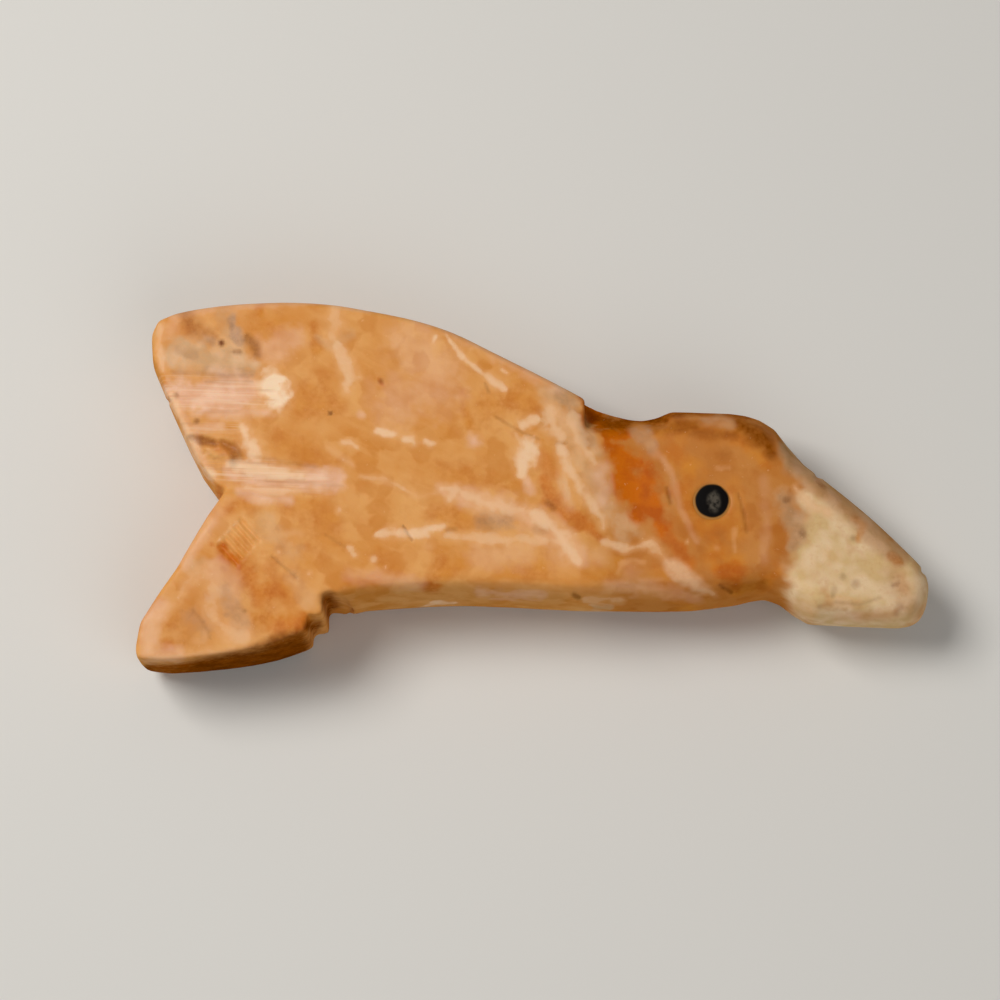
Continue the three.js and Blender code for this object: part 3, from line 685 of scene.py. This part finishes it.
def stain(mesh):
    """Keeps a mask for each of the stone's minerals, with painted shade and highlights among
    their marks, and three more, for its material.
    """
    points = per_corner(mesh, "co")
    places = seen(points)
    moved = drift(points)
    fray = sum(share * noise(points, size, FRAY_SEED + layer)
               for layer, (share, size) in enumerate(FRAY))
    for name, (marks, softness, follows) in STAINS.items():
        spread = painted(places + follows * moved, marks.values(), softness, follows * fray)
        keep_mask(mesh, name, spread)
    keep_mask(mesh, "filed", painted(places, FILED, MARK_SOFTNESS))
    walls = 1 - smoothstep(np.abs(per_corner(mesh, "normal")[:, 2]), *POLISHED)
    unpolished = painted(places, UNPOLISHED, UNPOLISHED_SOFTNESS)
    keep_mask(mesh, "raw", np.maximum(walls, unpolished))
    keep_mask(mesh, "forward", smoothstep((places + moved)[:, 0], *FORWARD))


def finish_piece(name, mesh, material, node):
    """Makes a piece in metres, in place of its node."""
    mesh.transform(Matrix.Scale(MM, 4))
    mesh.shade_smooth()
    mesh.materials.clear()
    mesh.materials.append(material)
    piece = placed(name, mesh)
    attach(piece, "root")
    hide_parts(node)


def linear(code):
    """The linear colour of an sRGB hex code."""
    channels = [int(code[i:i + 2], 16) / 255 for i in (1, 3, 5)]
    return [c / 12.92 if c <= 0.04045 else ((c + 0.055) / 1.055) ** 2.4 for c in channels] + [1.0]


def add(tree, kind, inputs=None, **settings):
    """Adds a node with its settings. An input is a value, a socket, or a node's main output."""
    made = tree.nodes.new(kind)
    for key, value in settings.items():
        setattr(made, key, value)
    for key, value in (inputs or {}).items():
        if isinstance(key, int):
            socket = made.inputs[key]
        else:
            socket = next(s for s in made.inputs if s.enabled and s.name == key)
        if isinstance(value, bpy.types.Node):
            value = next(s for s in value.outputs if s.enabled)
        if isinstance(value, bpy.types.NodeSocket):
            tree.links.new(value, socket)
        else:
            socket.default_value = value
    return made


def new_material(name):
    material = bpy.data.materials.new(name)
    material.use_nodes = True
    material.node_tree.nodes.clear()
    return material, material.node_tree


# Colours of the stone, as they are under full light. The two darkest browns also serve for
# painted shade, and the pale and the pink for painted highlights.
HONEY = "#d48b3e"
HONEY_LIGHT = "#e1a25d"
HONEY_DEEP = "#c97c2c"
HEAD_TONE_AND_SHADE = "#e2d0b6"  # by which the head is darker: deeper honey and painted shade
FLECK = "#efc48f"
STREAK_LIGHT = "#f3cfac"
STREAK_DARK = "#c48a62"
MINERALS = {
    "cream": ("#eaca9f", "#dab680"),
    "amber": ("#d2852e", "#c47020"),
    "khaki": ("#ddb084", "#cb9c6c"),
    "rust": ("#c96604", "#b85600"),
    "ochre_and_shade": ("#8e4702", "#7c3d00"),
    "pink": ("#efc0a0", "#e4ae8a"),
    "violet": ("#bd8f6a", "#a97c56"),
    "pale": ("#e9b07a", "#e2a468"),
    "lines": ("#7e4004", "#683200"),
}
PALE_CORE = "#f6d6b2"  # of the strongest veins, whose edges stay as warm as the pale above

BEDDING_SLOPE = math.radians(-27)

# Noise in the stone: the size of its pattern in millimetres, its detail, the slope that it
# runs along, and how far it is drawn out along that slope, across it and upright
NOISE = {
    "clouds": (4.0, 3, 0, (1, 1, 1)),
    "mottle": (1.2, 4, 0, (1, 1, 1)),
    "grain": (0.3, 3, 0, (1, 1, 1)),
    "bedding": (0.6, 3, BEDDING_SLOPE, (5, 1, 2)),
    "scratches": (0.12, 2, BEDDING_SLOPE, (5, 1, 2)),
    "streaks": (0.22, 2, FILE_LINE_SLOPE, (24, 1, 24)),
}
FRAGMENT = 1.2  # the pieces that the stone once broke into, before it healed
FRAGMENT_RAGGED = 1.3  # how far their edges wander
FRAGMENT_BLEND = 0.5  # how softly one passes into the next

# Where a tone sets in along its noise, where it is full, and how much it covers there
CLOUD_TONE = {"From Min": 0.36, "From Max": 0.64}
MOTTLE_TONE = {"From Min": 0.48, "From Max": 0.72, "To Max": 0.55}
BEDDING_TONE = {"From Min": 0.5, "From Max": 0.7, "To Max": 0.4}
FRAGMENT_TONE = {"From Min": 0.45, "From Max": 0.95, "To Max": 0.55}
SECOND_TONE = {"From Min": 0.4, "From Max": 0.62}
CORE_TONE = {"From Min": 0.62, "From Max": 1.4, "To Max": 0.95}
FLECK_TONE = {"From Min": 0.68, "From Max": 0.8, "To Max": 0.3}
SCRAPED = {"From Min": 0.52, "From Max": 0.62, "To Max": 0.38}
RUBBED_IN = {"From Min": 0.42, "From Max": 0.34, "To Max": 0.38}

EDGE_LEVEL = 0.55  # how much of a mineral shows where the grain is lowest
EDGE_GRAIN = 0.9  # how much more of it shows where the grain is highest
CORE_MOTTLE = 0.5  # how far mottling widens the cores of the palest veins

# The stone's surface: its relief, beside that of its grain, its polish and its inner light
SCRATCH_RELIEF = 0.35
STREAK_RELIEF = 2.0
RELIEF = {"Strength": 0.3, "Distance": 0.03 * MM}
POLISH = {"From Min": 0.35, "From Max": 0.7, "To Min": 0.36, "To Max": 0.5}
FILED_ROUGHER = 0.2
RAW_ROUGHER = 0.5
RAW_GLOSS = {"To Min": 0.14, "To Max": 0}  # from the polished flanks to the raw walls
STONE = {"IOR": 1.5, "Subsurface Weight": 0.15, "Subsurface Radius": (1.0, 0.5, 0.22),
         "Subsurface Scale": 0.5 * MM}


def stone_inputs(tree):
    """Places on the stone, the noise in it, and the masks that its mesh keeps."""
    place = add(tree, "ShaderNodeTexCoord").outputs["Object"]
    noises = {}
    for name, (size, detail, slope, stretch) in NOISE.items():
        along = add(tree, "ShaderNodeMapping", {
            "Vector": place, "Rotation": (0, 0, slope), "Scale": stretch}, vector_type="TEXTURE")
        noises[name] = add(tree, "ShaderNodeTexNoise", {
            "Vector": along, "Scale": 1 / (size * MM), "Detail": detail})
    masks = {}
    for name in (*STAINS, "filed", "raw", "forward"):
        masks[name] = add(tree, "ShaderNodeAttribute", attribute_name=name).outputs["Fac"]
    return place, noises, masks


def honey_layers(tree, place, noises, masks):
    """Clouds, bedding and fragments of a lighter or deeper honey, and the darker head, partly
    deeper honey and partly painted shade.
    """
    ragged = add(tree, "ShaderNodeVectorMath", {
        0: noises["mottle"].outputs["Color"], 1: (FRAGMENT_RAGGED * MM,) * 3, 2: place},
        operation="MULTIPLY_ADD")
    fragments = add(tree, "ShaderNodeTexVoronoi", {
        "Vector": ragged, "Scale": 1 / (FRAGMENT * MM), "Smoothness": FRAGMENT_BLEND},
        feature="SMOOTH_F1")
    chance = add(tree, "ShaderNodeSeparateColor", {"Color": fragments.outputs["Color"]})
    layers = []
    for value, tone, code in (
            (noises["clouds"], CLOUD_TONE, HONEY_LIGHT),
            (noises["mottle"], MOTTLE_TONE, HONEY_DEEP),
            (noises["bedding"], BEDDING_TONE, HONEY_LIGHT),
            (chance.outputs["Red"], FRAGMENT_TONE, HONEY_LIGHT),
            (chance.outputs["Green"], FRAGMENT_TONE, HONEY_DEEP)):
        share = add(tree, "ShaderNodeMapRange", {"Value": value, **tone})
        layers.append((share, linear(code), "MIX"))
    return layers + [(masks["forward"], linear(HEAD_TONE_AND_SHADE), "MULTIPLY")]


def mineral_layers(tree, noises, masks):
    """The minerals, with painted shade and highlights among them, a second tone in their
    mottling, and edges that break into grain.
    """
    second = add(tree, "ShaderNodeMapRange", {"Value": noises["mottle"], **SECOND_TONE})
    edge = add(tree, "ShaderNodeMath", {
        0: noises["grain"], 1: EDGE_GRAIN, 2: EDGE_LEVEL}, operation="MULTIPLY_ADD")
    layers = []
    for name, (main, other) in MINERALS.items():
        share = add(tree, "ShaderNodeMath", {
            0: masks[name], 1: edge}, operation="MULTIPLY", use_clamp=True)
        tone = add(tree, "ShaderNodeMix", {
            "Factor": second, "A": linear(main), "B": linear(other)}, data_type="RGBA")
        layers.append((share, tone, "MIX"))
    core = add(tree, "ShaderNodeMath", {
        0: noises["mottle"], 1: CORE_MOTTLE, 2: masks["pale"]}, operation="MULTIPLY_ADD")
    for value, tone, code in ((core, CORE_TONE, PALE_CORE), (noises["grain"], FLECK_TONE, FLECK)):
        share = add(tree, "ShaderNodeMapRange", {"Value": value, **tone})
        layers.append((share, linear(code), "MIX"))
    return layers


def file_layers(tree, noises, masks):
    """Streaks that the file scraped light and rubbed dark."""
    layers = []
    for tone, code in ((SCRAPED, STREAK_LIGHT), (RUBBED_IN, STREAK_DARK)):
        drawn = add(tree, "ShaderNodeMapRange", {"Value": noises["streaks"], **tone})
        share = add(tree, "ShaderNodeMath", {0: drawn, 1: masks["filed"]}, operation="MULTIPLY")
        layers.append((share, linear(code), "MIX"))
    return layers


# Honey travertine, sawn, ground and rubbed to a soft polish. It gives the eye warm bands
# with bleeding edges, a little light from inside, and a sheen that breaks up in file marks.
def travertine():
    material, tree = new_material("hand_rubbed_honey_travertine")
    place, noises, masks = stone_inputs(tree)
    layers = honey_layers(tree, place, noises, masks) + mineral_layers(tree, noises, masks)
    colour = linear(HONEY)
    for share, over, blend in layers + file_layers(tree, noises, masks):
        colour = add(tree, "ShaderNodeMix", {
            "Factor": share, "A": colour, "B": over}, data_type="RGBA", blend_type=blend)

    fine = add(tree, "ShaderNodeMath", {
        0: noises["scratches"], 1: SCRATCH_RELIEF, 2: noises["grain"]}, operation="MULTIPLY_ADD")
    cut = add(tree, "ShaderNodeMath", {
        0: noises["streaks"], 1: masks["filed"]}, operation="MULTIPLY")
    height = add(tree, "ShaderNodeMath", {
        0: cut, 1: STREAK_RELIEF, 2: fine}, operation="MULTIPLY_ADD")
    bump = add(tree, "ShaderNodeBump", {"Height": height, **RELIEF})

    polish = add(tree, "ShaderNodeMapRange", {"Value": noises["mottle"], **POLISH})
    dulled = add(tree, "ShaderNodeMath", {
        0: masks["filed"], 1: FILED_ROUGHER, 2: polish}, operation="MULTIPLY_ADD")
    dulled = add(tree, "ShaderNodeMath", {
        0: masks["raw"], 1: RAW_ROUGHER, 2: dulled}, operation="MULTIPLY_ADD", use_clamp=True)
    gloss = add(tree, "ShaderNodeMapRange", {"Value": masks["raw"], **RAW_GLOSS})
    shader = add(tree, "ShaderNodeBsdfPrincipled", {
        "Base Color": colour, "Roughness": dulled, "Specular IOR Level": gloss, "Normal": bump,
        **STONE})
    add(tree, "ShaderNodeOutputMaterial", {"Surface": shader})
    return material


def carved_bird():
    blank = softened(welded_copy("stone_bird"), SOFTENING)
    mesh = softened(rubbed(blank), EVENING)
    carve(mesh)
    mesh = thinned_below(mesh)
    stain(mesh)
    finish_piece("carved_bird", mesh, travertine(), "stone_bird")


# The jet's colours and its surface
JET_COLOUR = "#060302"
SCUFF_COLOUR = "#514a40"
RESIN_COLOUR = "#a87236"
GRIT = 0.3
GRIT_BREAKS = {"From Min": 0.36, "From Max": 0.64, "To Min": 0.1}  # up the scuff
GRIT_RELIEF = {"Strength": 0.4, "Distance": 0.02 * MM}
JET_ROUGHNESS = {"To Min": 0.55, "To Max": 0.75}  # from the jet to its scuff
JET = {"IOR": 1.66, "Specular IOR Level": 0.05}


# Jet, a hard black lignite, cut as a disc and rubbed flush. It gives the eye a black as deep
# as glass at the rim, and a dull grey scuff where grit dragged across it.
def jet():
    material, tree = new_material("rubbed_jet")
    place = add(tree, "ShaderNodeTexCoord").outputs["Object"]
    grit = add(tree, "ShaderNodeTexNoise", {
        "Vector": place, "Scale": 1 / (GRIT * MM), "Detail": 2})
    broken = add(tree, "ShaderNodeMapRange", {"Value": grit, **GRIT_BREAKS})
    scuff = add(tree, "ShaderNodeAttribute", attribute_name="scuff").outputs["Fac"]
    patch = add(tree, "ShaderNodeMath", {0: scuff, 1: broken}, operation="MULTIPLY")
    colour = add(tree, "ShaderNodeMix", {
        "Factor": patch, "A": linear(JET_COLOUR), "B": linear(SCUFF_COLOUR)}, data_type="RGBA")
    resin = add(tree, "ShaderNodeAttribute", attribute_name="resin").outputs["Fac"]
    colour = add(tree, "ShaderNodeMix", {
        "Factor": resin, "A": colour, "B": linear(RESIN_COLOUR)}, data_type="RGBA")
    dull = add(tree, "ShaderNodeMapRange", {"Value": patch, **JET_ROUGHNESS})
    bump = add(tree, "ShaderNodeBump", {"Height": grit, **GRIT_RELIEF})
    shader = add(tree, "ShaderNodeBsdfPrincipled", {
        "Base Color": colour, "Roughness": dull, "Normal": bump, **JET})
    add(tree, "ShaderNodeOutputMaterial", {"Surface": shader})
    return material


EYE_SIDES = 96
EYE_RINGS = 22  # from the middle of each face to its edge
EYE_DOME = 0.05  # how far a face falls from its middle to its rim
EYE_EDGE = 0.03  # the rounding of the disc's rim
EYE_EDGE_STEPS = 5
EYE_PIT = 0.015  # how deep grit scuffed the face
SCUFF_CENTRE = (0.12, 0.0)  # from the middle of the eye
SCUFF_REACH = (0.55, 0.9)
SCUFF_FADE = 0.6  # the share of its reach over which it fades
SCUFF_GRIT = 0.2
RESIN_REACH = 0.13  # how far the rim of resin reaches past the node, into the socket's mouth
RESIN_WIDTH = 0.12  # of the ragged brown rim of resin that holds the jet
RESIN_FADE = (0.6 * RESIN_WIDTH, 1.4 * RESIN_WIDTH)
RESIN_SHIFT = (0.03, 0.05)  # how far the jet sits off the middle of that rim
RESIN_WOBBLE = 0.03
RESIN_WOBBLE_SIZE = 0.5


def disc_profile(radius, height):
    """A domed disc's outline from the middle of its face to the middle of its back."""
    flat = radius - EYE_EDGE
    face = [(flat * i / EYE_RINGS, height - EYE_DOME * (i / EYE_RINGS) ** 2)
            for i in range(1, EYE_RINGS + 1)]
    rim = []
    for i in range(1, EYE_EDGE_STEPS + 1):
        turn = i / EYE_EDGE_STEPS * math.pi / 2
        drop = EYE_EDGE * (1 - math.cos(turn))
        rim.append((flat + EYE_EDGE * math.sin(turn), face[-1][1] - drop))
    back = [(radius * i / EYE_RINGS, 0) for i in range(EYE_RINGS, 0, -1)]
    return face + rim + back


def turned(profile, height):
    """A closed mesh turned about the upright axis, with a point at each end of it."""
    turns = [2 * math.pi * k / EYE_SIDES for k in range(EYE_SIDES)]
    corners = [(r * math.cos(t), r * math.sin(t), z) for r, z in profile for t in turns]
    top, bottom = len(corners), len(corners) + 1
    faces = []
    for k in range(EYE_SIDES):
        n = (k + 1) % EYE_SIDES
        faces.append((top, k, n))
        for start in range(0, len(corners) - EYE_SIDES, EYE_SIDES):
            below = start + EYE_SIDES
            faces.append((start + k, below + k, below + n, start + n))
        last = len(corners) - EYE_SIDES
        faces.append((last + n, last + k, bottom))
    mesh = bpy.data.meshes.new("turned")
    mesh.from_pydata(corners + [(0, 0, height), (0, 0, 0)], [], faces)
    return mesh


def jet_disc(node, material, faces_up):
    """A disc in its node's place, with a domed and scuffed face on its outward side."""
    low, high = box_mm(node)
    height = high[2] - low[2]
    radius = (high[0] - low[0]) / 2 + RESIN_REACH
    mesh = turned(disc_profile(radius, height), height)
    points = per_corner(mesh, "co")
    away = np.hypot(*((points[:, i] - SCUFF_CENTRE[i]) / SCUFF_REACH[i] for i in (0, 1)))
    scuffed = smoothstep(1 - away, 0, SCUFF_FADE) * (points[:, 2] > height / 2)
    points[:, 2] -= EYE_PIT * scuffed * (1 + noise(points, SCUFF_GRIT, SCUFF_SEED))
    mesh.vertices.foreach_set("co", points.ravel())
    keep_mask(mesh, "scuff", scuffed)
    inward = radius - np.hypot(*(points[:, i] - RESIN_SHIFT[i] for i in (0, 1)))
    inward += RESIN_WOBBLE * noise(points, RESIN_WOBBLE_SIZE, RESIN_SEED)
    keep_mask(mesh, "resin", 1 - smoothstep(inward, *RESIN_FADE))
    if not faces_up:
        mesh.transform(Matrix.Translation((0, 0, height)) @ Matrix.Rotation(math.pi, 4, "X"))
    centre = (low + high) / 2
    mesh.transform(Matrix.Translation((centre[0], centre[1], low[2])))
    mesh.update()
    finish_piece(node + "_disc", mesh, material, node)


FLOOR_COLOUR = "#d9d6d0"
FLOOR_ROUGHNESS = 0.85
FLOOR_REACH = 2000.0
FLOOR_GAP = 0.02  # below the bird, so that no face lies in the floor's plane


def pale_floor():
    material, tree = new_material("pale_paper_floor")
    shader = add(tree, "ShaderNodeBsdfPrincipled", {
        "Base Color": linear(FLOOR_COLOUR), "Roughness": FLOOR_ROUGHNESS})
    add(tree, "ShaderNodeOutputMaterial", {"Surface": shader})
    mesh = bpy.data.meshes.new("floor")
    corners = [(x * FLOOR_REACH, y * FLOOR_REACH, -FLOOR_GAP)
               for x, y in ((-1, -1), (1, -1), (1, 1), (-1, 1))]
    mesh.from_pydata(corners, [], [(0, 1, 2, 3)])
    mesh.transform(Matrix.Scale(MM, 4))
    mesh.materials.append(material)
    placed("floor", mesh)


# Lights: place from the middle of the bird's resting face, width, power in watts, colour
KEY = ((-150, 70, 260), 130, 0.68, "#fffefc")
FILL = ((90, -160, 200), 220, 0.16, "#ffffff")
ROOM = ("#f6f6f6", 0.2)  # the colour and the strength of the light from all round


def light(name, place, width, power, colour):
    """A soft square light that faces the bird."""
    lamp = bpy.data.lights.new(name, "AREA")
    lamp.size = width * MM
    lamp.energy = power
    lamp.color = linear(colour)[:3]
    holder = placed(name, lamp)
    holder.location = Vector(place) * MM
    holder.rotation_euler = (-Vector(place)).to_track_quat("-Z", "Y").to_euler()


def lighting():
    light("key", *KEY)
    light("fill", *FILL)
    world = bpy.data.worlds.new("room")
    world.use_nodes = True
    background = world.node_tree.nodes["Background"]
    background.inputs["Color"].default_value = linear(ROOM[0])
    background.inputs["Strength"].default_value = ROOM[1]
    bpy.context.scene.world = world
    bpy.context.scene.view_settings.view_transform = "Standard"


def camera():
    lens = bpy.data.cameras.new("photograph")
    lens.sensor_width = SENSOR
    lens.lens = SENSOR * FOCAL_LENGTH / PICTURE
    lens.clip_start = NEAREST_SEEN * MM
    holder = placed("photograph", lens)
    back = np.array([0, -math.cos(CAMERA_ELEVATION), math.sin(CAMERA_ELEVATION)])
    holder.location = Vector((view_centre + CAMERA_DISTANCE * back) * MM)
    holder.rotation_euler = (math.pi / 2 - CAMERA_ELEVATION, 0, 0)
    bpy.context.scene.camera = holder


camera()
lighting()
pale_floor()
carved_bird()
jet_material = jet()
jet_disc("right_eye", jet_material, True)
jet_disc("left_eye", jet_material, False)
